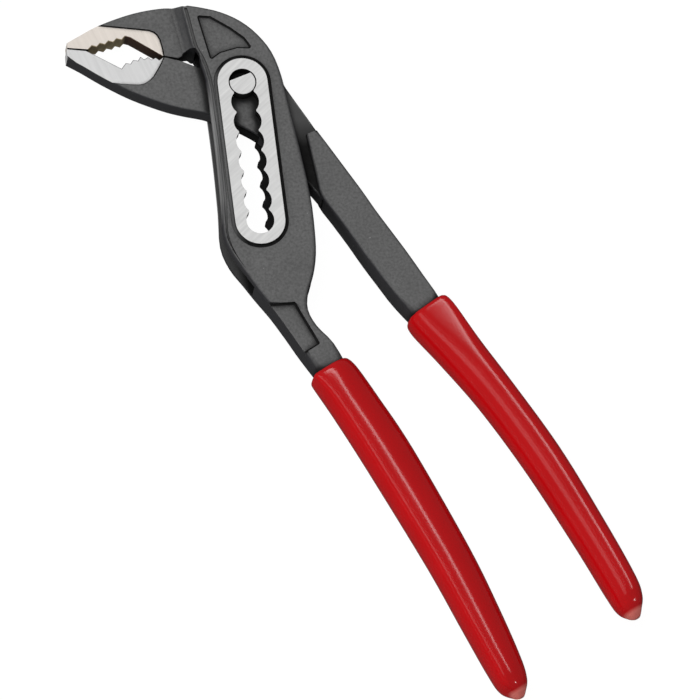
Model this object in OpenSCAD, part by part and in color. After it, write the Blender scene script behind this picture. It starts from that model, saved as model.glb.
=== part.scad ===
// Water pump pliers with a passed-through joint, about 250 mm long, lying flat.
// The slotted half is a forged box with the upper jaw. The through half passes between
// its two walls and carries the lower jaw. A flatted pin seats in one of the slot's lobes.
// Frame: the pin's axis at its first seat is X0 Y0, the slot runs along -Y,
// and Z0 is the back face that the tool lies on.

/* [Joint] */
// Thickness of the box over its two ground rings
box_t = 15.6; // [14.5:0.1:18]
// How far each ground ring stands above the forged wall
ring_raise = 0.5; // [0.3:0.1:1]
// Width of the ground ring round the slot, at its widest
ring_w = 15.2; // [13.5:0.1:15.8]
// Width of the shallow channel round the ring
moat_w = 1.1; // [0.4:0.1:1.4]
// Depth of the shallow channel round the ring
moat_depth = 0.4; // [0.1:0.1:0.6]
// Distance of the groove from the box's jaw-side edge
groove_in = 0.9; // [0.6:0.1:1.1]
// Width of the groove along the box's jaw-side edge
groove_w = 0.9; // [0.5:0.1:1]
// Depth of the groove along the box's jaw-side edge
groove_depth = 0.45; // [0.2:0.05:0.7]
// Thickness of the through half where it passes the box
neck_t = 7.8; // [6.5:0.1:8.5]
// Play of the through half between the two walls, on each side
window_play = 0.15; // [0.1:0.05:0.3]
// Number of seats along the slot
seat_count = 8; // [5:1:8]
// Distance from one seat to the next
seat_pitch = 6.38; // [6:0.02:6.6]
// Width of the straight throat between two seats
throat_w = 6.1; // [5.6:0.1:6.8]
// Diameter of the pin
pin_d = 8.2; // [7.6:0.1:8.6]
// Play of the pin in a seat, on each side
seat_play = 0.15; // [0.1:0.05:0.25]
// Running play of the pin in the through half, on each side
bore_play = 0.05; // [0.02:0.01:0.09]
// Distance of the pin's flat from its axis
pin_flat = 2.05; // [1.8:0.05:3]
// Turn of the pin's flat from square to the slot
pin_flat_turn = 17; // [0:1:30]
// Depth of the pin's ends below the ring faces
pin_sunk = 0.1; // [0.05:0.05:0.3]

/* [Jaws] */
// Length of both jaws from their heel to their tip
jaw_len = 28.8; // [25:0.1:34]
// Thickness of the upper jaw
jaw_t = 7.8; // [6.5:0.1:8.5]
// Depth of the ground flats on the sides of both jaws
jaw_ground = 0.4; // [0.2:0.1:0.8]
// Gap between the closed jaws
mouth_gap = 0.5; // [0.3:0.1:1]
// Number of teeth on each jaw
tooth_count = 5; // [3:1:7]
// Depth of a tooth
tooth_depth = 0.8; // [0.5:0.1:1.3]

/* [Handles] */
// Length of the slotted half's grip, from its lip to its tip
slotted_grip_len = 118; // [100:1:140]
// Length of the through half's grip, from its lip to its tip
through_grip_len = 115.7; // [100:1:140]
// Thickness of both forged arms above the grips
arm_t = 11.6; // [10:0.1:13]
// Thickness of a grip
grip_t = 15; // [14:0.1:15.4]
// Wall of the dipped coating
coat = 1.6; // [1.2:0.1:2.2]
// Depth of the recess on the slotted half's arm
recess_depth = 0.9; // [0.4:0.1:1.2]
// Depth of the bare field beside the upper jaw
field_depth = 0.6; // [0.3:0.1:1]
// Radius of the corners of the bare field and the recess
corner_r = 0.7; // [0.3:0.1:1]
// Radius of the forged edges
edge_r = 1.2; // [0.8:0.1:2]
// Radius of the edges of the jaws and the neck
neck_edge_r = 0.8; // [0.4:0.1:1.2]

/* [Hidden] */
$fn = 64;

steel = "#4a4b4d";
bright = "#c9c7c2";
red = "#c3161c";

mid_z = box_t / 2;
wall_t = box_t - 2 * ring_raise;
window_h = neck_t + 2 * window_play;
pin_r = pin_d / 2;
lobe_r = pin_r + seat_play;
slot_len = (seat_count - 1) * seat_pitch;
// Small step that keeps cuts and joined bodies from sharing a face
eps = 0.01;
// Reach of a cut that has to pass right through
far = 60;

// Edge points of the forgings and grips along the run of each bar:
// [left x, left y, right x, right y]
box_edges = [
    [-15.7, 25.4, -13.4, 26.4], [-15.3, 22.8, -9.2, 25.3], [-14.9, 19.6, -3.6, 23.3],
    [-14.5, 16.2, 2, 19.9], [-13.8, 12.4, 6.6, 15.2], [-12.2, 8.4, 10.2, 9.2],
    [-10.9, 1.7, 12.2, 1.5], [-10.6, -8, 13.3, -8.5], [-10.6, -22, 14.9, -22],
    [-11, -37, 16.3, -37.5], [-11.6, -47.6, 16.3, -48.5], [-9.7, -54.6, 15.7, -56.5],
    [-6.4, -60.4, 14.2, -62.8], [-3.2, -66, 12, -68.2], [0.6, -72.2, 11.3, -73.4]
];
// Stations of the box over which it thins to the arm, where its edge groove ends,
// and over which the groove runs out
thinning = 3;
groove_end = 12;
groove_out = 3;
slotted_arm_edges = [[4.4, -79.2, 13.4, -79], [7.9, -86, 17.8, -85]];
slotted_grip_edges = [
    [10.1, -94.9, 21.1, -89.1], [11.7, -97.9, 23.8, -92.7], [16.3, -106.7, 28.9, -102.3],
    [24.4, -123.7, 37.3, -120.1], [37.7, -155.9, 50.3, -152.7], [45.5, -176.3, 57.4, -173.3],
    [51.8, -191.3, 62.3, -188.9], [54.9, -197.7, 63.4, -195.6], [58.6, -200.3, 62.6, -199.2],
    [60.2, -201.1, 62, -200.6]
];
upper_jaw_edges = [
    [-11, 24.8, -10, 13.4], [-14.6, 26.3, -13.2, 12.2], [-18.4, 27.1, -16.6, 11],
    [-22, 27.3, -20.6, 10], [-28, 26.8, -28, 9], [-34, 25.6, -34, 9], [-41.4, 23.4, -41.4, 10],
    [-47, 20.9, -47, 12], [-51.2, 18.9, -51.2, 14]
];
// Shoulder that steps down from the box to the upper jaw, with its share of that step
shoulder_edges = [
    [-11, 24.8, -9, 13.4, 0], [-14.2, 26.2, -12.2, 12.6, 0.02], [-15.3, 26.5, -13.2, 12.3, 0.12],
    [-17.5, 26.9, -15.4, 11.8, 0.82], [-18.6, 27, -16.4, 11.4, 1]
];
neck_edges = [
    [24, -24, 20, -38.9], [21.6, -17.4, 17.9, -35.2], [13.4, -1.6, 6.4, -19.4], [9.6, 7.4, -1.2, -13],
    [1.5, 11.2, -7, -10], [-8, 11.4, -12, -7.5], [-17.4, 12, -18, -5.7], [-23.5, 13, -24.2, -3.4], [-30, 15, -33.4, 1.2],
    [-39, 18, -41.6, 6.6], [-46, 19.5, -47.4, 11], [-51.4, 19.5, -51.6, 13.9]
];
through_arm_edges = [
    [17.5, -17.8, 21.1, -16.7], [18.1, -23.4, 24.4, -22.6], [18.9, -31.4, 29, -31],
    [19.7, -37.6, 32.6, -37.6], [22.8, -43.3, 35.8, -43.9], [26.7, -50.4, 39.5, -50.6],
    [30.5, -57.8, 43.7, -58.2], [34.7, -65.4, 47.5, -65.6], [38.4, -71.8, 50.4, -71.1]
];
through_grip_edges = [
    [41.3, -79.1, 52.6, -72.6], [43.1, -82.9, 55.3, -75.3], [50.5, -93.1, 62.5, -87.1],
    [61.2, -107.9, 71.6, -103.1], [72.8, -128.9, 82.9, -124.7], [83.9, -153.7, 93.5, -149.7],
    [90.8, -170.8, 100.6, -166.2], [93.6, -176.6, 101.5, -172.6], [96.4, -178.8, 100.8, -176.6],
    [98.2, -179.5, 100.2, -178.6]
];
// Thickness of a grip at its last stations, and the radius of its edges, as shares of its thickness
tip_shares = [0.82, 0.52, 0.22];
grip_round = 0.38;

// Corners of the jaws' mouths as drawn, from the tip to the relief in front of the box
jaw_root = -22.6;
jaw_drawn = 28.8;
mouth_tip = [-51.4, 17.3];
upper_land = [-44.9, 16.2];
upper_notch = [-31.9, 18.8];
mouth_heel = [jaw_root, 12];
upper_relief = [[-17.4, 10.6], [-16.4, 12.2], [-14.4, 12.9], [-12.6, 12.3], [-11.8, 10.6]];
lower_land = [-45.2, 15.6];
lower_notch = [-35.6, 9.1];
lower_step = [-34.1, 10.8];
lower_crest = [-29.4, 12.4];
lower_relief = [[-8.6, 8.6], [-10.4, 6.6], [-12.9, 7.4], [-17.5, 9.8]];
// Teeth of the lower jaw that stand on the rise behind its notch
rise_teeth = 2;

// Outlines of the ground flats, of the bare field and of the recess on the arm
upper_flat = [
    [-60, 32], [-60, 0], [-22.1, 0], [-22.1, 12], [-22.3, 14.6], [-22.7, 17.2], [-23.4, 18.9],
    [-24.3, 19.9], [-25.9, 20.7], [-31.1, 21.7], [-40.7, 23.6]
];
lower_flat = [
    [-60, 32], [-60, 21], [-51.8, 14.4], [-40.4, 4.9], [-36, 3.8], [-30.8, 3.1], [-29, 3.4],
    [-27.5, 4.2], [-26, 5.5], [-23.8, 8.6], [-22.2, 11.3], [-22.2, 32]
];
field_outline = [
    [-11.3, 22.8], [-7.1, 22.1], [-1.5, 18], [2.4, 14.4], [4.6, 10.5], [-0.2, 11.1], [-5.5, 10], [-8.8, 7.9]
];
recess_outline = [[-4, -70.8], [7.6, -71], [13.6, -85], [9, -87.4], [3, -87.4]];

// Passage for the through half between the box's walls
window_top = 14.2;
window_left = -12.6;
window_apex = [2.5, -56];
window_right_foot = [16, -71.5];
window_left_foot = [-9, -71.4];

// Point on the smooth curve through b and c, at t from 0 to 1
function curve(a, b, c, d, t) =
    0.5 * (2 * b + (c - a) * t + (2 * a - 5 * b + 4 * c - d) * t * t + (3 * b - a - 3 * c + d) * t * t * t);

// Smooth run through a list of stations, with n steps between two of them
function smooth(s, n) = let (e = len(s) - 1) concat(
    [for (i = [0 : e - 1], j = [0 : n - 1])
        curve(s[max(i - 1, 0)], s[i], s[i + 1], s[min(i + 2, e)], j / n)],
    [s[e]]
);

function left(e) = [e[0], e[1]];
function right(e) = [e[2], e[3]];
function middle(e) = (left(e) + right(e)) / 2;

// Edges stretched along their run, so that it measures the length that is set
function stretched(edges, length) =
    let (a = middle(edges[0]), b = middle(edges[len(edges) - 1]), d = (b - a) / norm(b - a))
    let (k = length / norm(b - a) - 1)
    [for (e = edges) let (u = d * k * ((middle(e) - a) * d)) concat(left(e) + u, right(e) + u)];

// Point of a jaw, moved out from the jaws' root to suit their length
function jaw_point(p) = p.x < jaw_root ? [jaw_root + (p.x - jaw_root) * jaw_len / jaw_drawn, p.y] : p;
function jaw_points(list) = [for (p = list) jaw_point(p)];
function jaw_edges(edges) = [for (e = edges) concat(jaw_point(left(e)), jaw_point(right(e)))];

// Adds a thickness and an edge radius to each pair of edge points
function bar(edges, t, r) = [for (e = edges) concat(e, [t, r])];

// Rounded rectangle across one station [left x, left y, right x, right y, thickness, edge radius]
function section(s, m) =
    let (w = norm(right(s) - left(s)), d = (right(s) - left(s)) / w, c = middle(s))
    let (round_r = min(s[5], 0.49 * w, 0.49 * s[4]))
    [for (k = [0 : 3], j = [0 : m])
        let (a = 90 * (k + j / m), sx = (k == 0 || k == 3) ? 1 : -1, sz = k < 2 ? 1 : -1)
        let (x = sx * (w / 2 - round_r) + round_r * cos(a))
        [c.x + d.x * x, c.y + d.y * x, sz * (s[4] / 2 - round_r) + round_r * sin(a)]];

// Solid lofted through the stations, about the middle plane
module forged_bar(stations, steps = 3, corner = 3) {
    rings = [for (s = smooth(stations, steps)) section(s, corner)];
    n = len(rings[0]);
    last = len(rings) - 1;
    sides = [for (i = [0 : last - 1], k = [0 : n - 1])
        let (a = i * n + k, b = i * n + (k + 1) % n)
        each [[a, a + n, b + n], [a, b + n, b]]];
    caps = [[for (k = [0 : n - 1]) k], [for (k = [n - 1 : -1 : 0]) last * n + k]];
    translate([0, 0, mid_z])
        polyhedron(points = [for (r = rings) each r], faces = concat(sides, caps));
}

// Station drawn in by d on all sides
function inset(s, d) =
    let (u = (right(s) - left(s)) / norm(right(s) - left(s)) * d)
    concat(left(s) + u, right(s) - u, [s[4] - 2 * d, s[5] - 0.5 * d]);

// Stations of a grip, with the thickness falling off at the lip and over the tip
function grip_stations(edges) = let (tip = len(edges) - len(tip_shares))
    [for (i = [0 : len(edges) - 1])
        let (t = i == 0 ? grip_t - coat : i < tip ? grip_t : grip_t * tip_shares[i - tip])
        concat(edges[i], [t, t * grip_round])];

// Stations of the bare tang that fills a grip, from inside its lip to short of its tip
function tang_stations(edges) = let (g = grip_stations(edges))
    [for (i = [1 : len(g) - len(tip_shares) - 1]) inset(g[i], coat)];

// Zigzag from a to b with its points on the left of the way
function zigzag(a, b, n, depth) =
    let (d = (b - a) / n, u = [-d.y, d.x] / norm(d))
    [for (i = [0 : n - 1]) each [a + d * i, a + d * (i + 0.5) + u * depth]];

// Cut from a depth below the front of a thickness t, and from the back too where both is set
module surface_cut(t, depth, both = true) {
    for (side = both ? [0, 1] : [0])
        translate([0, 0, mid_z]) mirror([0, 0, side])
            translate([0, 0, t / 2 - depth]) linear_extrude(far) children();
}

// Outline with its outer corners rounded
module rounded(r) offset(r) offset(delta = -r) children();

// Stadium along the slot
module slot_outline(r) {
    circle(r);
    translate([-r, -slot_len]) square([2 * r, slot_len]);
    translate([0, -slot_len]) circle(r);
}

module seats() {
    for (i = [0 : seat_count - 1])
        translate([0, -i * seat_pitch, -far]) cylinder(r = lobe_r, h = 2 * far);
    translate([-throat_w / 2, -slot_len, -far]) cube([throat_w, slot_len, 2 * far]);
}

// Channel round the ring, and groove along the box's jaw-side edge
module ring_moat() {
    surface_cut(wall_t, moat_depth) difference() {
        slot_outline(ring_w / 2 + moat_w);
        slot_outline(ring_w / 2);
    }
}
module edge_groove() {
    steps = 3;
    edge = smooth([for (i = [0 : groove_end]) left(box_edges[i])], steps);
    last = len(edge) - 1;
    surface_cut(wall_t, groove_depth) polygon(concat(
        [for (p = edge) p + [groove_in, 0]],
        [for (i = [last - 1 : -1 : 0])
            edge[i] + [groove_in + groove_w * min(1, (last - i) / steps / groove_out), 0]]
    ));
}

// Passage for the through half, open at both sides of the box
module window() {
    translate([0, 0, mid_z - window_h / 2]) linear_extrude(window_h) polygon([
        [window_left, window_top], [far, window_top], [far, window_right_foot.y], window_right_foot,
        window_apex, window_left_foot, [-far, window_left_foot.y], [-far, 0], [window_left, 0]
    ]);
}

// Space below the upper jaw's teeth, with the relief in front of the box
module upper_mouth_cut() {
    tip = jaw_point(mouth_tip);
    notch = jaw_point(upper_notch);
    end = upper_relief[len(upper_relief) - 1];
    translate([0, 0, -far]) linear_extrude(2 * far) polygon(concat(
        [[-far, -far], [-far, tip.y], tip],
        zigzag(jaw_point(upper_land), notch, tooth_count, tooth_depth),
        [notch, mouth_heel], upper_relief, [[end.x, -far]]
    ));
}

// Space above the lower jaw's teeth, with the dip in front of the box
module lower_mouth_cut() {
    drop = [0, -mouth_gap];
    heel = mouth_heel + drop;
    tip = jaw_point(mouth_tip) + drop;
    crest = jaw_point(lower_crest);
    step = jaw_point(lower_step);
    translate([0, 0, -far]) linear_extrude(2 * far) polygon(concat(
        [[lower_relief[0].x, far]], lower_relief,
        zigzag(heel, crest, tooth_count - rise_teeth, tooth_depth),
        zigzag(crest, step, rise_teeth, tooth_depth),
        [step, jaw_point(lower_notch), jaw_point(lower_land), tip, [-far, tip.y], [-far, far]]
    ));
}

// Ground flats on both sides of a jaw
module ground_flats(outline) {
    surface_cut(jaw_t, jaw_ground) polygon(jaw_points(outline));
}

// Box, arm and tang of the slotted half in one run, thinning from the box to the arm
module slotted_run() {
    thin_from = len(box_edges) - 1 - thinning;
    forged_bar(concat(
        [for (i = [0 : len(box_edges) - 1])
            concat(box_edges[i], [wall_t - (wall_t - arm_t) * max(0, i - thin_from) / thinning, edge_r])],
        bar(slotted_arm_edges, arm_t, edge_r),
        tang_stations(stretched(slotted_grip_edges, slotted_grip_len))
    ));
}

module slotted_half() {
    color(steel) difference() {
        union() {
            slotted_run();
            forged_bar(bar(jaw_edges(upper_jaw_edges), jaw_t, neck_edge_r));
            forged_bar([for (e = shoulder_edges)
                concat(left(e), right(e), [wall_t - eps - (wall_t - jaw_t) * e[4], neck_edge_r])], 1);
            linear_extrude(box_t) slot_outline(ring_w / 2);
        }
        window();
        seats();
        ring_moat();
        edge_groove();
        upper_mouth_cut();
        ground_flats(upper_flat);
        surface_cut(wall_t, field_depth, false) rounded(corner_r) polygon(field_outline);
        surface_cut(arm_t, recess_depth, false) rounded(corner_r) polygon(recess_outline);
    }
}

// Arm and tang of the through half in one run
module through_run() {
    forged_bar(concat(
        bar(through_arm_edges, arm_t, edge_r),
        tang_stations(stretched(through_grip_edges, through_grip_len))
    ));
}

module through_half() {
    color(steel) difference() {
        union() {
            forged_bar(bar(jaw_edges(neck_edges), neck_t, neck_edge_r));
            through_run();
        }
        translate([0, 0, -far]) cylinder(r = pin_r + bore_play, h = 2 * far);
        lower_mouth_cut();
        ground_flats(lower_flat);
    }
}

module joint_pin() {
    color(bright) difference() {
        translate([0, 0, pin_sunk]) cylinder(r = pin_r, h = box_t - 2 * pin_sunk);
        for (z = [-far, mid_z + neck_t / 2])
            rotate(pin_flat_turn) translate([-far, pin_flat, z]) cube([2 * far, far, far + mid_z - neck_t / 2]);
    }
}

// Dipped coating round the run that is given as child
module grip(edges, length) {
    color(red) difference() {
        forged_bar(grip_stations(stretched(edges, length)), 4, 5);
        children();
    }
}
module slotted_grip() grip(slotted_grip_edges, slotted_grip_len) slotted_run();
module through_grip() grip(through_grip_edges, through_grip_len) through_run();

slotted_half();
through_half();
joint_pin();
slotted_grip();
through_grip();
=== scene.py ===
import math

import bmesh
import bpy
import numpy as np
from mathutils import Matrix, Vector


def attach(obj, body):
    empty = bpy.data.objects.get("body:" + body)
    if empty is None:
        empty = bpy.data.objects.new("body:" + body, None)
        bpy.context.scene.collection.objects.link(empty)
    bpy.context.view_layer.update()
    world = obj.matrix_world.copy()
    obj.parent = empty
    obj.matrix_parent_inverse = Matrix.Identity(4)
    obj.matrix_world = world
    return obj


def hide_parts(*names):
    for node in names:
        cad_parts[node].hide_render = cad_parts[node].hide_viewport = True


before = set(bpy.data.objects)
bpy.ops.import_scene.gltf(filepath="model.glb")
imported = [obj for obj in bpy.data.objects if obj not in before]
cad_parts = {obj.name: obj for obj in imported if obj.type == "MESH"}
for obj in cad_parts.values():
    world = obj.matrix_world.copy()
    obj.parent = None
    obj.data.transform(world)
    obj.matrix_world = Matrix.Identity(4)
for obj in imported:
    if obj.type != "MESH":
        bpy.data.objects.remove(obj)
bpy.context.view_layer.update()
MM = 0.001


# Slotted half: a drop forging in chrome vanadium steel, with the upper jaw, the box and one handle.
# It is phosphated black all over; the rings round the slot and the sides of the jaw are then ground
# bright, and the teeth are broached last and hardened, which leaves their walls brown.
BOX_T = 15.6 * MM
MID_Z = BOX_T / 2
CHANNEL_FLOOR = 6.9 * MM
JAW_FLAT = 3.5 * MM
JAW_HEEL_X = -22.2 * MM
TOOTH_Y = (9 * MM, 19.6 * MM)
BAND_X = (-14 * MM, -7.55 * MM)
BAND_Y = (-46 * MM, 2 * MM)
BAND_Z = 5.2 * MM
BAND_LEAN = -0.3
TIP_X = -49 * MM
TIP_LEAN = -0.9
INNER_WALL = 4.05 * MM
NECK_LEVEL = 3.9 * MM
NECK_SHADE_X = 12.2 * MM
MOUTH_TIP_X = -47 * MM
LOWER_WALL_SLOPE = -0.7
LOWER_WALL_Y = -19 * MM
SLOT_HALF_W = 4.4 * MM
SLOT_MID_Y = -22.3 * MM
SLOT_HALF_L = 27 * MM
CORNER_FILLETS = (
    (3.5 * MM, 0.38 * MM), (3.9 * MM, 0.38 * MM), (4.9 * MM, 0.65 * MM), (6.7 * MM, 0.55 * MM),
)
TOOTH_CHAMFER = 0.2 * MM
LEVEL_SLACK = 0.02 * MM
CUT_SLACK = 0.0001 * MM
MERGE_DISTANCE = 0.002 * MM
SHORTEST_EDGE = 0.004 * MM
COPLANAR = math.radians(0.4)
SHARP = math.radians(33)
FLAT_NZ = 0.999
STEEP_NZ = 0.3
UPRIGHT_NZ = 0.02
FORGED, GROUND, TOOTHED, STRAW, LAPPED, PAINTED_SHADE, RUBBED = range(7)


def linear(hex_colour):
    """sRGB hex to linear: c / 12.92 up to 0.04045, and ((c + 0.055) / 1.055) ** 2.4 above it."""
    c = np.array([int(hex_colour[i:i + 2], 16) / 255 for i in (1, 3, 5)])
    return (*np.where(c <= 0.04045, c / 12.92, ((c + 0.055) / 1.055) ** 2.4), 1.0)


def add(tree, kind, inputs=(), **settings):
    """Adds a node with its settings; an input is a number, a colour or the socket that feeds it."""
    made = tree.nodes.new(kind)
    for name, value in settings.items():
        setattr(made, name, value)
    for name, value in dict(inputs).items():
        if isinstance(value, bpy.types.NodeSocket):
            tree.links.new(value, made.inputs[name])
        else:
            made.inputs[name].default_value = value
    return made


def blank_material(name):
    """Empty node tree with its Principled shader, and the piece's own coordinates in metres."""
    material = bpy.data.materials.new(name)
    material.use_nodes = True
    tree = material.node_tree
    tree.nodes.clear()
    shader = add(tree, "ShaderNodeBsdfPrincipled")
    add(tree, "ShaderNodeOutputMaterial", {"Surface": shader.outputs["BSDF"]})
    place = add(tree, "ShaderNodeTexCoord").outputs["Object"]
    return material, tree, shader, place


def recess_shade(tree, colour, dark, reach, span):
    """Painted shade: colour that falls to a dark one where the surface within the reach, in mm, is closed
    in, in recesses and corners.
    """
    room = add(tree, "ShaderNodeAmbientOcclusion", {"Distance": reach * MM}, samples=8)
    share = add(tree, "ShaderNodeMapRange", {
        "Value": room.outputs["AO"], "From Min": span[0], "From Max": span[1],
    })
    return add(tree, "ShaderNodeMix", {
        "Factor": share.outputs["Result"], "A": linear(dark), "B": colour,
    }, data_type="RGBA").outputs[2]


def painted_wall_shade(tree, colour, dark):
    """Painted wall shade: colour of the faces that lie flat, |n_z| above 0.985, falling to a dark one on
    upright walls.
    """
    facing = add(tree, "ShaderNodeTexCoord").outputs["Normal"]
    height = add(tree, "ShaderNodeSeparateXYZ", {0: facing}).outputs["Z"]
    slope = add(tree, "ShaderNodeMath", {0: height}, operation="ABSOLUTE")
    share = add(tree, "ShaderNodeMapRange", {
        "Value": slope.outputs["Value"], "From Min": 0.5, "From Max": 0.985,
    })
    return add(tree, "ShaderNodeMix", {
        "Factor": share.outputs["Result"], "A": linear(dark), "B": colour,
    }, data_type="RGBA").outputs[2]


def phosphated_forging():
    """Black phosphated forging, dull and a little mottled. The upright walls, |n_z| below 0.5, take a
    painted shade, which the faces, |n_z| near 1, don't. The coat's crystals are too fine to show,
    so their grain is drawn 0.8 mm apart. Clouds of 9 mm come from the forging scale, and pale specks,
    0.4 mm across, lie about 6 mm apart. Edges are paler over 0.35 mm, where the bevelled normal leaves
    the true one: partly rubbed wear, partly a painted highlight. Painted shade darkens recesses within
    4.2 mm, and more so corners within 2.2 mm."""
    material, tree, shader, place = blank_material("phosphated_forging")
    grain = add(tree, "ShaderNodeTexNoise", {"Vector": place, "Scale": 1 / (0.8 * MM), "Detail": 4.0})
    cloud = add(tree, "ShaderNodeTexNoise", {"Vector": place, "Scale": 1 / (9 * MM), "Detail": 2.0})
    tone = add(tree, "ShaderNodeMix", {
        "Factor": cloud.outputs["Fac"], "A": linear("#626262"), "B": linear("#747474"),
    }, data_type="RGBA")
    face = add(tree, "ShaderNodeMix", {
        "Factor": grain.outputs["Fac"], "A": linear("#3c3c3c"), "B": tone.outputs[2],
    }, data_type="RGBA")
    # Painted shade on the upright walls, which fall to #2e2e30.
    coat = painted_wall_shade(tree, face.outputs[2], "#2e2e30")
    # Edges paler by up to 0.08 towards #7c7c7c: partly rubbed wear, partly a painted highlight.
    rounded = add(tree, "ShaderNodeBevel", {"Radius": 0.35 * MM}, samples=6)
    true = add(tree, "ShaderNodeNewGeometry").outputs["Normal"]
    same = add(tree, "ShaderNodeVectorMath", {
        0: rounded.outputs["Normal"], 1: true,
    }, operation="DOT_PRODUCT")
    rub_and_highlight = add(tree, "ShaderNodeMapRange", {
        "Value": same.outputs["Value"], "From Min": 0.99, "From Max": 0.86, "To Max": 0.08,
    })
    rubbed = add(tree, "ShaderNodeMix", {
        "Factor": rub_and_highlight.outputs["Result"], "A": coat, "B": linear("#7c7c7c"),
    }, data_type="RGBA")
    speck = add(tree, "ShaderNodeTexVoronoi", {"Vector": place, "Scale": 1 / (6 * MM)})
    dusty = add(tree, "ShaderNodeMapRange", {
        "Value": speck.outputs["Distance"], "From Min": 0.02, "From Max": 0.04,
        "To Min": 0.5, "To Max": 0.0,
    })
    specked = add(tree, "ShaderNodeMix", {
        "Factor": dusty.outputs["Result"], "A": rubbed.outputs[2], "B": linear("#9a9a9a"),
    }, data_type="RGBA")
    # Painted shade in recesses within 4.2 mm and, darker, in corners within 2.2 mm.
    recess_shaded = recess_shade(tree, specked.outputs[2], "#0e0e0f", 4.2, (0.4, 0.97))
    corner_shaded = recess_shade(tree, recess_shaded, "#161616", 2.2, (0.78, 0.99))
    tree.links.new(corner_shaded, shader.inputs["Base Color"])
    bump = add(tree, "ShaderNodeBump", {
        "Height": grain.outputs["Fac"], "Normal": rounded.outputs["Normal"],
        "Strength": 0.4, "Distance": 0.06 * MM,
    })
    tree.links.new(bump.outputs["Normal"], shader.inputs["Normal"])
    shader.inputs["Roughness"].default_value = 0.58
    shader.inputs["Specular IOR Level"].default_value = 0.22
    return material


def belt_rubbed_forging():
    """Phosphated edge run along a belt, which leaves pale lines where the coat is thinner. The grit's
    own lines are too fine to show and are drawn 0.8 mm apart and 30 mm long. The belt lifts off over
    9 mm at either end, from 14.5 to 23.5 mm off the band's middle, so they fade into the plain coat,
    whose upright walls take a painted shade. Painted shade also darkens recesses within 3 mm."""
    material, tree, shader, place = blank_material("belt_rubbed_forging")
    along = add(tree, "ShaderNodeMapping", {
        "Vector": place, "Scale": (0.8 * MM, 30 * MM, 0.8 * MM),
    }, vector_type="TEXTURE")
    lines = add(tree, "ShaderNodeTexNoise", {
        "Vector": along.outputs["Vector"], "Scale": 1.0, "Detail": 2.0,
    })
    spread = add(tree, "ShaderNodeMapRange", {
        "Value": lines.outputs["Fac"], "From Min": 0.3, "From Max": 0.7,
    })
    tone = add(tree, "ShaderNodeMix", {
        "Factor": spread.outputs["Result"], "A": linear("#4c4c4c"), "B": linear("#828282"),
    }, data_type="RGBA")
    length = add(tree, "ShaderNodeSeparateXYZ", {0: place}).outputs["Y"]
    off_middle = add(tree, "ShaderNodeMath", {0: length, 1: -sum(BAND_Y) / 2}, operation="ADD")
    reach = add(tree, "ShaderNodeMath", {0: off_middle.outputs["Value"]}, operation="ABSOLUTE")
    lift = add(tree, "ShaderNodeMapRange", {
        "Value": reach.outputs["Value"], "From Min": 14.5 * MM, "From Max": 23.5 * MM,
    })
    # At the ends the band falls to the plain coat, with painted shade on its upright walls.
    run_out = add(tree, "ShaderNodeMix", {
        "Factor": lift.outputs["Result"], "A": tone.outputs[2],
        "B": painted_wall_shade(tree, linear("#565656"), "#2e2e30"),
    }, data_type="RGBA")
    # Painted shade in recesses within 3 mm.
    shaded = recess_shade(tree, run_out.outputs[2], "#1c1c1c", 3.0, (0.4, 0.9))
    tree.links.new(shaded, shader.inputs["Base Color"])
    bump = add(tree, "ShaderNodeBump", {
        "Height": lines.outputs["Fac"], "Strength": 0.3, "Distance": 0.05 * MM,
    })
    tree.links.new(bump.outputs["Normal"], shader.inputs["Normal"])
    shader.inputs["Roughness"].default_value = 0.5
    shader.inputs["Specular IOR Level"].default_value = 0.25
    return material


def ground_steel(name, colours, angle):
    """Surface-ground steel, bright with a silky look from straight marks at an angle in degrees to the
    x axis. The wheel's own marks are too fine to show and are drawn 0.8 mm apart and 14 mm long. A
    fine dark line of painted shade lies in the corners within 1.2 mm."""
    material, tree, shader, place = blank_material(name)
    along = add(tree, "ShaderNodeMapping", {
        "Vector": place, "Rotation": (0, 0, math.radians(angle)), "Scale": (14 * MM, 0.8 * MM, 14 * MM),
    }, vector_type="TEXTURE")
    marks = add(tree, "ShaderNodeTexNoise", {
        "Vector": along.outputs["Vector"], "Scale": 1.0, "Detail": 4.0,
    })
    tone = add(tree, "ShaderNodeMix", {
        "Factor": marks.outputs["Fac"], "A": linear(colours[0]), "B": linear(colours[1]),
    }, data_type="RGBA")
    # Painted shade: a fine dark line in the corners within 1.2 mm.
    corner_line_shaded = recess_shade(tree, tone.outputs[2], "#1e1e1e", 1.2, (0.72, 0.97))
    tree.links.new(corner_line_shaded, shader.inputs["Base Color"])
    bump = add(tree, "ShaderNodeBump", {
        "Height": marks.outputs["Fac"], "Strength": 0.12, "Distance": 0.03 * MM,
    })
    tree.links.new(bump.outputs["Normal"], shader.inputs["Normal"])
    shader.inputs["Metallic"].default_value = 0.3
    shader.inputs["Roughness"].default_value = 0.45
    return material


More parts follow.
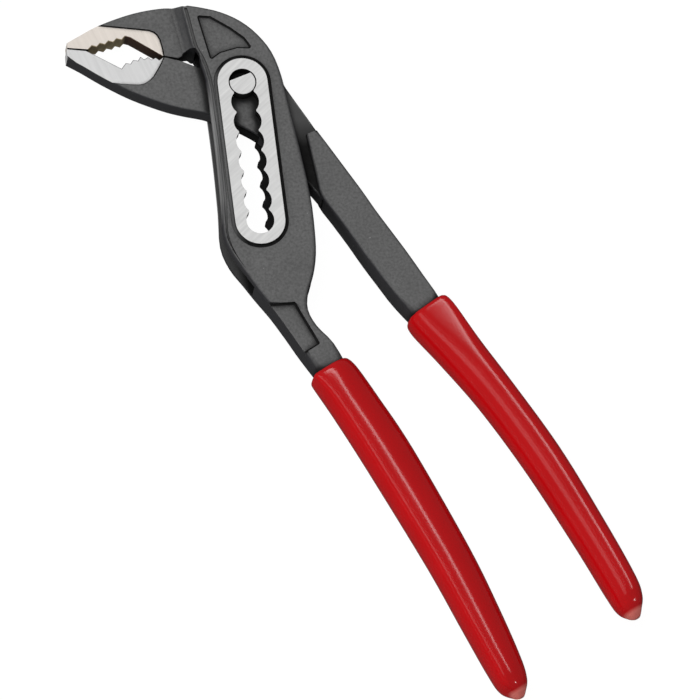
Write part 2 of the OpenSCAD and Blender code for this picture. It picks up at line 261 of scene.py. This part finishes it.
def painted_shade_phosphate():
    """Painted shade: near-black phosphate, mottled in smears of 2.5 mm, laid where shade falls. Towards
    the box's left edge, x from -4.5 to -7.5 mm and y below 5 mm, it turns grey as painted light. On the
    neck, x above 12 mm, it turns grey upwards from y = -21 to -12.5 mm, again as painted light."""
    material, tree, shader, place = blank_material("painted_shade_phosphate")
    smear = add(tree, "ShaderNodeTexNoise", {"Vector": place, "Scale": 1 / (2.5 * MM), "Detail": 3.0})
    # Painted shade: the near-black tone.
    tone = add(tree, "ShaderNodeMix", {
        "Factor": smear.outputs["Fac"], "A": linear("#0c0c0c"), "B": linear("#222222"),
    }, data_type="RGBA")
    point = add(tree, "ShaderNodeSeparateXYZ", {0: place}).outputs
    # Painted light: grey towards the box's left edge and up the neck, where light reaches.
    beside = add(tree, "ShaderNodeMapRange", {
        "Value": point["X"], "From Min": -4.5 * MM, "From Max": -7.5 * MM, "To Max": 0.7,
    })
    below = add(tree, "ShaderNodeMapRange", {
        "Value": point["Y"], "From Min": 6 * MM, "From Max": 4 * MM,
    })
    left = add(tree, "ShaderNodeMath", {
        0: beside.outputs["Result"], 1: below.outputs["Result"],
    }, operation="MULTIPLY")
    on_neck = add(tree, "ShaderNodeMapRange", {
        "Value": point["X"], "From Min": 11 * MM, "From Max": 12 * MM,
    })
    upper = add(tree, "ShaderNodeMapRange", {
        "Value": point["Y"], "From Min": -21 * MM, "From Max": -12.5 * MM,
    })
    neck = add(tree, "ShaderNodeMath", {
        0: on_neck.outputs["Result"], 1: upper.outputs["Result"],
    }, operation="MULTIPLY")
    lit_share = add(tree, "ShaderNodeMath", {
        0: left.outputs["Value"], 1: neck.outputs["Value"],
    }, operation="MAXIMUM")
    coat = add(tree, "ShaderNodeMix", {
        "Factor": lit_share.outputs["Value"], "A": tone.outputs[2], "B": linear("#4a4a4a"),
    }, data_type="RGBA")
    tree.links.new(coat.outputs[2], shader.inputs["Base Color"])
    shader.inputs["Roughness"].default_value = 0.7
    shader.inputs["Specular IOR Level"].default_value = 0.0
    return material


def broached_steel():
    """Broached and hardened tooth walls: brown with heat, and olive on the front teeth, beyond
    x = -33.5 mm. The broach's lines there are too fine to show and are drawn 0.6 mm apart and 4 mm
    long, across the jaw."""
    material, tree, shader, place = blank_material("broached_steel")
    across = add(tree, "ShaderNodeMapping", {
        "Vector": place, "Scale": (1 / (0.6 * MM), 1 / (0.6 * MM), 1 / (4 * MM)),
    })
    lines = add(tree, "ShaderNodeTexNoise", {
        "Vector": across.outputs["Vector"], "Scale": 1.0, "Detail": 2.0,
    })
    tone = add(tree, "ShaderNodeMix", {
        "Factor": lines.outputs["Fac"], "A": linear("#7c6d4e"), "B": linear("#b3a582"),
    }, data_type="RGBA")
    side = add(tree, "ShaderNodeSeparateXYZ", {0: place}).outputs["X"]
    front = add(tree, "ShaderNodeMapRange", {"Value": side, "From Min": -33 * MM, "From Max": -34 * MM})
    heat = add(tree, "ShaderNodeMix", {
        "Factor": front.outputs["Result"], "A": linear("#4a3529"), "B": tone.outputs[2],
    }, data_type="RGBA")
    tree.links.new(heat.outputs[2], shader.inputs["Base Color"])
    shader.inputs["Metallic"].default_value = 0.4
    shader.inputs["Roughness"].default_value = 0.45
    return material


def at_level(z, level):
    """True for heights at a level above or below the tool's middle plane."""
    return abs(abs(z - MID_Z) - level) < LEVEL_SLACK


def in_mouth_at(x, y):
    """True for places between the jaws: right of the tips, left of the heel and above the lower wall."""
    above_wall = y > np.maximum(TOOTH_Y[0], LOWER_WALL_SLOPE * x + LOWER_WALL_Y)
    return (x < JAW_HEEL_X) & (x > MOUTH_TIP_X) & above_wall & (y < TOOTH_Y[1])


def faces_at(bm, level):
    """Faces whose middle lies at a level above or below the tool's middle plane."""
    return [face for face in bm.faces if at_level(face.calc_center_median().z, level)]


def cut_across(bm, level, x):
    """Cuts the faces at a level along a line of constant x, so that either side takes its own finish."""
    faces = faces_at(bm, level)
    edges = dict.fromkeys(edge for face in faces for edge in face.edges)
    corners = dict.fromkeys(vert for face in faces for vert in face.verts)
    bmesh.ops.bisect_plane(
        bm, geom=[*corners, *edges, *faces], plane_co=(x, 0, 0), plane_no=(1, 0, 0), dist=CUT_SLACK
    )


def corner_edges(bm, level, convex):
    """Edges between a face that lies flat at the level and an upright wall, convex or hollow."""
    found = []
    for flat in faces_at(bm, level):
        if abs(flat.normal.z) < FLAT_NZ:
            continue
        for edge in flat.edges:
            steepest = min(abs(face.normal.z) for face in edge.link_faces)
            if steepest < STEEP_NZ and edge.is_convex == convex:
                found.append(edge)
    return found


def merged_copy(node):
    """Copy of a node's solid, its triangles merged into the flat faces that they came from."""
    bm = bmesh.new()
    bm.from_mesh(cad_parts[node].data)
    bmesh.ops.remove_doubles(bm, verts=bm.verts, dist=MERGE_DISTANCE)
    bmesh.ops.dissolve_limit(bm, angle_limit=COPLANAR, verts=bm.verts, edges=bm.edges)
    return bm


def filleted_forging(name, node, brink_finish):
    """Mesh of a forged solid with fillets in the hollow corners at the CORNER_FILLETS levels, which carry
    painted shade, and a chamfer along the brink of the teeth. Its faces already carry those two finishes."""
    bm = merged_copy(node)
    brink = [edge for edge in corner_edges(bm, JAW_FLAT, True)
             if in_mouth_at(*((edge.verts[0].co + edge.verts[1].co) / 2).xy)]
    # The fillets carry painted shade, the near-black.
    for level, radius in CORNER_FILLETS:
        bmesh.ops.bevel(
            bm, geom=corner_edges(bm, level, False), offset=radius, segments=2, profile=0.5,
            affect="EDGES", clamp_overlap=False, material=PAINTED_SHADE,
        )
    bmesh.ops.bevel(
        bm, geom=[edge for edge in brink if edge.is_valid], offset=TOOTH_CHAMFER, segments=1,
        affect="EDGES", clamp_overlap=False, material=brink_finish,
    )
    cut_across(bm, CHANNEL_FLOOR, BAND_X[1])
    cut_across(bm, NECK_LEVEL, NECK_SHADE_X)
    bmesh.ops.dissolve_degenerate(bm, dist=SHORTEST_EDGE, edges=bm.edges)
    mesh = bpy.data.meshes.new(name)
    bm.to_mesh(mesh)
    bm.free()
    return mesh


def finished_forging(name, node, jaw_finish, brink_finish):
    """Filleted forging. Faces that lie flat in the ring planes or in the planes of the jaw's ground
    sides take a ground finish, upright ones in the mouth the broached one, those in the slot, inside
    the box, on the floor of the channel round the ring and on the neck beside the box the painted shade
    black, and the box's left edge the belt-rubbed one."""
    mesh = filleted_forging(name, node, brink_finish)
    count = len(mesh.polygons)
    middle = np.empty(count * 3)
    normal = np.empty(count * 3)
    mesh.polygons.foreach_get("center", middle)
    mesh.polygons.foreach_get("normal", normal)
    x, y, z = middle.reshape(-1, 3).T
    lean, _, rise = normal.reshape(-1, 3).T
    height = np.abs(z - MID_Z)
    flat = np.abs(rise) > FLAT_NZ
    upright = np.abs(rise) < UPRIGHT_NZ
    in_ring = flat & at_level(z, BOX_T / 2)
    on_jaw = flat & at_level(z, JAW_FLAT) & (x < JAW_HEEL_X)
    # Painted shade: the near-black goes on the slot's walls, the flats inside the box, the channel floor
    # and the neck beside the box.
    in_slot = upright & (np.abs(x) < SLOT_HALF_W) & (np.abs(y - SLOT_MID_Y) < SLOT_HALF_L)
    off_neck = at_level(z, NECK_LEVEL) & (x > NECK_SHADE_X)
    shaded_flats = flat & (at_level(z, CHANNEL_FLOOR) | at_level(z, INNER_WALL) | off_neck)
    on_band = (x > BAND_X[0]) & (x < BAND_X[1]) & (y > BAND_Y[0]) & (y < BAND_Y[1]) & ~in_ring
    on_band &= (height > BAND_Z) | ((lean < BAND_LEAN) & (height > INNER_WALL))
    finish = np.empty(count, np.int32)
    mesh.polygons.foreach_get("material_index", finish)
    finish[in_ring] = GROUND
    finish[on_jaw] = jaw_finish
    finish[upright & in_mouth_at(x, y)] = TOOTHED
    finish[in_slot | shaded_flats] = PAINTED_SHADE
    finish[on_band] = RUBBED
    finish[upright & (x < TIP_X) & (lean < TIP_LEAN)] = jaw_finish
    mesh.polygons.foreach_set("material_index", finish)
    mesh.polygons.foreach_set("use_smooth", np.ones(count, bool))
    mesh.set_sharp_from_angle(angle=SHARP)
    for material in (black, ring_bright, tooth_brown, jaw_straw, jaw_bright, painted_shade_black, rubbed):
        mesh.materials.append(material)
    piece = bpy.data.objects.new(name, mesh)
    bpy.context.scene.collection.objects.link(piece)
    weighted = piece.modifiers.new("flat_faces_stay_flat", "WEIGHTED_NORMAL")
    weighted.keep_sharp = True
    return piece


black = phosphated_forging()
rubbed = belt_rubbed_forging()
ring_bright = ground_steel("surface_ground_steel", ("#aeaeae", "#dadad9"), 38)
jaw_bright = ground_steel("lapped_ground_steel", ("#bababa", "#d0d0d0"), 108)
jaw_straw = ground_steel("tempered_ground_steel", ("#c6beb6", "#dcd4cc"), 108)
tooth_brown = broached_steel()
painted_shade_black = painted_shade_phosphate()
slotted_forging = finished_forging("slotted_forging", "slotted_half", STRAW, TOOTHED)
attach(slotted_forging, "slotted_side")
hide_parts("slotted_half")


# Through half: the second forging, of the same steel. Its flat neck passes between the walls of the
# box, its lower jaw is ground on both sides, and its arm carries the other handle.
through_forging = finished_forging("through_forging", "through_half", LAPPED, FORGED)
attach(through_forging, "through_side")
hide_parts("through_half")


# Joint pin: turned from steel bar, flatted at both ends and ground off just below the ring faces. The
# ends are chamfered, and the chamfers and the sides take painted shade, a dark line round each end.
PIN_END = 7.7 * MM
PIN_CHAMFER = 0.22 * MM


def chamfered_pin():
    """Merged copy of the pin with a chamfer on the rims of its ends; only the ends are ground, and the
    rest takes painted shade.
    """
    bm = merged_copy("joint_pin")
    rims = dict.fromkeys(edge for face in faces_at(bm, PIN_END) for edge in face.edges)
    bmesh.ops.bevel(bm, geom=list(rims), offset=PIN_CHAMFER, segments=1, affect="EDGES")
    mesh = bpy.data.meshes.new("chamfered_pin")
    bm.to_mesh(mesh)
    bm.free()
    middle = np.empty(len(mesh.polygons) * 3)
    mesh.polygons.foreach_get("center", middle)
    at_end = at_level(middle.reshape(-1, 3)[:, 2], PIN_END)
    # Painted shade on all faces but the ground ends.
    mesh.polygons.foreach_set("material_index", np.where(at_end, 0, 1).astype(np.int32))
    mesh.materials.append(ring_bright)
    mesh.materials.append(painted_shade_black)
    piece = bpy.data.objects.new("chamfered_pin", mesh)
    bpy.context.scene.collection.objects.link(piece)
    return piece


pin = chamfered_pin()
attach(pin, "pin")
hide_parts("joint_pin")


# Grips: each handle is dipped in liquid PVC and cured. The skin is glossy, thickest along the middle,
# rolls over at its upper edge and ends in the blunt drip that ran to the tip.

# Stations from the lip to the tip: x and y of the left edge, then of the right edge, in mm.
SLOTTED_GRIP_EDGES = (
    (9.8, -95, 21.5, -88.9), (11.4, -98, 24.4, -92.5), (15.8, -106.9, 29.5, -102.1),
    (23.6, -123.9, 38.1, -119.9), (37.6, -155.9, 51.1, -152.5), (45.6, -176.3, 57.9, -173.2),
    (51.6, -191.3, 62.3, -188.9), (54.7, -197.7, 63.4, -195.6), (58.6, -200.3, 62.6, -199.2),
    (60.2, -201.1, 62, -200.6),
)
THROUGH_GRIP_EDGES = (
    (41.1, -79.2, 52.7, -72.5), (42.9, -83, 55.5, -75.2), (50.2, -93.2, 62.4, -87.1),
    (60.2, -108.4, 71.5, -103.1), (71.6, -129.4, 82.9, -124.7), (83.2, -154, 93.6, -149.6),
    (90.6, -170.9, 100.1, -166.4), (93.5, -176.6, 101.5, -172.6), (96.4, -178.8, 100.8, -176.6),
    (98.2, -179.5, 100.2, -178.6),
)
TIP_SHARES = (0.82, 0.52, 0.22)
DRIP_TIPS = ((63.2, -204.6, 7.8), (101.2, -182.8, 7.8))
GRIP_T = 15.0
GRIP_MID = 7.8
GRIP_POWER = 2.46
COAT = 1.6
LIP_ROLL = 0.9
LIP_RINGS = 5
RINGS_PER_SPAN = 14
POINTS_ROUND = 160


def smooth_run(stations, steps):
    """Catmull-Rom curve through the stations: with b and c the ends of a span and a, d their
    neighbours, p = (2b + (c - a)t + (2a - 5b + 4c - d)t^2 + (3b - a - 3c + d)t^3) / 2."""
    s = np.vstack((stations[:1], stations, stations[-1:]))
    a, b, c, d = (s[i:len(s) - 3 + i, None, :] for i in range(4))
    t = (np.arange(steps) / steps)[None, :, None]
    square, cube = 2 * a - 5 * b + 4 * c - d, 3 * b - a - 3 * c + d
    run = (2 * b + (c - a) * t + square * t ** 2 + cube * t ** 3) / 2
    return np.vstack((run.reshape(-1, s.shape[1]), stations[-1:]))


def closed_tube(name, rings):
    """Mesh of rings of points along a path, closed by a fan to the middle point at each end."""
    n_rings, n_round = rings.shape[:2]
    points = np.vstack((rings.reshape(-1, 3), rings[0].mean(0), rings[-1].mean(0)))
    i, j = np.meshgrid(np.arange(n_rings - 1), np.arange(n_round), indexing="ij")
    k = (j + 1) % n_round
    sides = np.stack((i * n_round + j, i * n_round + k, (i + 1) * n_round + k, (i + 1) * n_round + j), -1)
    j = np.arange(n_round)
    k = (j + 1) % n_round
    first = np.stack((np.full(n_round, len(points) - 2), k, j), -1)
    last_ring = (n_rings - 1) * n_round
    last = np.stack((np.full(n_round, len(points) - 1), last_ring + j, last_ring + k), -1)
    mesh = bpy.data.meshes.new(name)
    mesh.from_pydata(points * MM, [], sides.reshape(-1, 4).tolist() + first.tolist() + last.tolist())
    mesh.polygons.foreach_set("use_smooth", np.ones(len(mesh.polygons), bool))
    piece = bpy.data.objects.new(name, mesh)
    bpy.context.scene.collection.objects.link(piece)
    return piece


def dipped_grip(name, edges, crown, shelf):
    """Superellipse |x / a|^n + |z / b|^p = 1, p = GRIP_POWER, across each station, carried along the
    handle. Its crown stands off the middle by a share of the width, from crown[0] at the lip to
    crown[1] at the tip, that grows as (z / b)^4, so it is a soft ridge. Over the flat steel at the lip
    the upper side is flatter: at s mm from it n = p + shelf[0] exp(-(s / shelf[1])^2), and n = p below.
    The lip is a quarter circle: at the angle phi it is LIP_ROLL (1 - cos phi) along and
    LIP_ROLL (1 - sin phi) drawn in."""
    edges = np.array(edges)
    t = np.full(len(edges), GRIP_T)
    t[0] = GRIP_T - COAT
    t[-len(TIP_SHARES):] = GRIP_T * np.array(TIP_SHARES)
    run = smooth_run(np.column_stack((edges, t)), RINGS_PER_SPAN)
    phi = np.linspace(0, np.pi / 2, LIP_RINGS + 1)[:-1, None]
    lip, step = run[0], run[1] - run[0]
    ahead = step / np.linalg.norm((step[:2] + step[2:4]) / 2)
    wide = (lip[2:4] - lip[:2]) / np.linalg.norm(lip[2:4] - lip[:2])
    shrink = np.concatenate((wide, -wide, [-2]))
    roll = lip + ahead * LIP_ROLL * (1 - np.cos(phi)) + shrink * LIP_ROLL * (1 - np.sin(phi))
    run = np.vstack((roll, run[np.linalg.norm(run[:, :2] - lip[:2], axis=1) > LIP_ROLL]))
    left, right, thick = run[:, :2], run[:, 2:4], run[:, 4]
    turn = np.linspace(0, 2 * np.pi, POINTS_ROUND, endpoint=False)
    cos, sin = np.cos(turn), np.sin(turn)
    s = np.linalg.norm((left + right - left[0] - right[0]) / 2, axis=1)[:, None]
    power = GRIP_POWER + shelf[0] * np.exp(-(s / shelf[1]) ** 2) * (sin > 0)
    up = np.sign(sin) * np.abs(sin) ** (2 / GRIP_POWER) / 2
    ridge = np.linspace(crown[0], crown[1], len(run))[:, None]
    across = np.sign(cos) * np.abs(cos) ** (2 / power) / 2 + ridge * (2 * up) ** 4
    rings = np.empty((len(run), len(turn), 3))
    rings[..., :2] = ((left + right) / 2)[:, None] + across[:, :, None] * (right - left)[:, None]
    rings[..., 2] = GRIP_MID + up * thick[:, None]
    return closed_tube(name, rings)


def dipped_pvc():
    """Dipped PVC: deep red and wet-looking, with slow waves of about 12 mm where the dip ran. Within
    6.6 to 8 mm of a point beyond each tip, DRIP_TIPS, it turns pale pink: a painted reflection of the
    pale floor on the drip's lower side."""
    material, tree, shader, place = blank_material("dipped_pvc")
    wave = add(tree, "ShaderNodeTexNoise", {"Vector": place, "Scale": 1 / (12 * MM), "Detail": 1.0})
    tone = add(tree, "ShaderNodeMix", {
        "Factor": wave.outputs["Fac"], "A": linear("#a8060b"), "B": linear("#b0080e"),
    }, data_type="RGBA")
    to_slotted, to_through = (
        add(tree, "ShaderNodeVectorMath", {
            0: place, 1: Vector(tip) * MM,
        }, operation="DISTANCE").outputs["Value"]
        for tip in DRIP_TIPS
    )
    off_tip = add(tree, "ShaderNodeMath", {0: to_slotted, 1: to_through}, operation="MINIMUM")
    # Painted reflection of the floor: pale pink near each tip.
    floor_reflection = add(tree, "ShaderNodeMapRange", {
        "Value": off_tip.outputs["Value"], "From Min": 6.6 * MM, "From Max": 8.0 * MM,
        "To Min": 1.0, "To Max": 0.0,
    })
    drip = add(tree, "ShaderNodeMix", {
        "Factor": floor_reflection.outputs["Result"], "A": tone.outputs[2], "B": linear("#cc6a62"),
    }, data_type="RGBA")
    tree.links.new(drip.outputs[2], shader.inputs["Base Color"])
    bump = add(tree, "ShaderNodeBump", {
        "Height": wave.outputs["Fac"], "Strength": 0.05, "Distance": 0.1 * MM,
    })
    tree.links.new(bump.outputs["Normal"], shader.inputs["Normal"])
    shader.inputs["Roughness"].default_value = 0.13
    shader.inputs["Specular IOR Level"].default_value = 0.35
    shader.inputs["IOR"].default_value = 1.5
    return material


vinyl = dipped_pvc()
for side, edges, crown, shelf in (
    ("slotted", SLOTTED_GRIP_EDGES, (-0.18, -0.14), (1.2, 6)),
    ("through", THROUGH_GRIP_EDGES, (0.115, 0.095), (3.4, 13)),
):
    dip = dipped_grip(side + "_dip", edges, crown, shelf)
    dip.data.materials.append(vinyl)
    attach(dip, side + "_side")
    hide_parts(side + "_grip")


# Floor and light: a pale sweep lit from within like a light table, and a weak even sky. Two softboxes
# light the tool and are kept out of its gloss; two strips along the handles and a small lamp beyond
# them show only in the gloss, as the streaks and the spark on the grips.
FLOOR_REACH = 6.0
FLOOR_DROP = 0.02 * MM
TOOL_MIDDLE = Vector((22.0, -88.6, 15.6)) * MM
ALONG_HANDLES = (0.42, -0.9, 0)
LIGHT_DISTANCE = 1.4
SKY_STRENGTH = 0.25


def pale_floor():
    """Translucent sheet lit from below, pale and even, so that hardly a shadow shows on it: 0.98 as it
    is seen, 1.08 on the tool's dull faces and only 0.03 in its gloss, so the grips' rims stay dark."""
    material, tree, shader, _ = blank_material("pale_floor")
    ray = add(tree, "ShaderNodeLightPath").outputs
    seen = add(tree, "ShaderNodeMath", {
        0: ray["Is Camera Ray"], 1: 0.95, 2: 0.03,
    }, operation="MULTIPLY_ADD")
    glow = add(tree, "ShaderNodeMath", {
        0: ray["Is Diffuse Ray"], 1: 1.05, 2: seen.outputs["Value"],
    }, operation="MULTIPLY_ADD")
    shader.inputs["Base Color"].default_value = linear("#303030")
    shader.inputs["Roughness"].default_value = 1.0
    shader.inputs["Emission Color"].default_value = linear("#ffffff")
    tree.links.new(glow.outputs["Value"], shader.inputs["Emission Strength"])
    return material


floor_mesh = bpy.data.meshes.new("floor")
floor_corners = [(x * FLOOR_REACH, y * FLOOR_REACH, 0) for x, y in ((-1, -1), (1, -1), (1, 1), (-1, 1))]
floor_mesh.from_pydata(floor_corners, [], [(0, 1, 2, 3)])
floor = bpy.data.objects.new("floor", floor_mesh)
floor.location.z = -FLOOR_DROP
floor_mesh.materials.append(pale_floor())
bpy.context.scene.collection.objects.link(floor)

world = bpy.data.worlds.new("studio")
bpy.context.scene.world = world
world.use_nodes = True
world.node_tree.nodes["Background"].inputs["Color"].default_value = (1, 1, 1, 1)
world.node_tree.nodes["Background"].inputs["Strength"].default_value = SKY_STRENGTH


def facing_tool(across, up, back, distance):
    """Matrix of a light or camera at a distance back from the tool's middle, facing it."""
    turn = Matrix((across, up, back)).transposed().to_4x4()
    return Matrix.Translation(TOOL_MIDDLE + back * distance) @ turn


def strip_light(name, direction, size, watts):
    """Area light facing the tool's middle from a direction, its first side along the handles."""
    data = bpy.data.lights.new(name, "AREA")
    data.shape = "RECTANGLE"
    data.size, data.size_y = size
    data.energy = watts
    back = Vector(direction).normalized()
    along = Vector(ALONG_HANDLES)
    across = (along - along.dot(back) * back).normalized()
    light = bpy.data.objects.new(name, data)
    light.matrix_world = facing_tool(across, back.cross(across), back, LIGHT_DISTANCE)
    bpy.context.scene.collection.objects.link(light)
    return light


for name, direction, size, watts in (
    ("key_softbox", (-0.3, 0.1, 0.94), (0.9, 0.9), 17),
    ("left_softbox", (-0.93, -0.2, 0.3), (0.9, 0.5), 6),
):
    strip_light(name, direction, size, watts).visible_glossy = False
for name, direction, size, watts in (
    ("streak_tube", (0.208, 0.357, 0.94), (1.8, 0.12), 5.0),
    ("soft_strip", (-0.43, 0.06, 0.917), (1.8, 0.45), 2.7),
    ("tip_lamp", (0.51, -0.52, 0.68), (0.1, 0.1), 1.0),
):
    strip_light(name, direction, size, watts).visible_diffuse = False


# Camera: a long lens looking down on the tool from its handle side, rolled so that the slot stands
# a little left of upright.
AZIMUTH, ELEVATION, ROLL = math.radians(-20.7), math.radians(70), math.radians(14.5)
LENS, SENSOR = 1500.0, 36.0
FIELD = 211.6 * MM
CLIP_END = 50
back = Vector((
    math.sin(AZIMUTH) * math.cos(ELEVATION), -math.cos(AZIMUTH) * math.cos(ELEVATION), math.sin(ELEVATION)
))
level = Vector((math.cos(AZIMUTH), math.sin(AZIMUTH), 0))
rise = back.cross(level)
right = math.cos(ROLL) * level + math.sin(ROLL) * rise
up = back.cross(right)
camera_data = bpy.data.cameras.new("camera")
camera_data.lens = LENS
camera_data.sensor_width = SENSOR
camera_data.clip_end = CLIP_END
camera = bpy.data.objects.new("camera", camera_data)
camera.matrix_world = facing_tool(right, up, back, FIELD * LENS / SENSOR)
bpy.context.scene.collection.objects.link(camera)
bpy.context.scene.camera = camera
bpy.context.scene.view_settings.view_transform = "Standard"
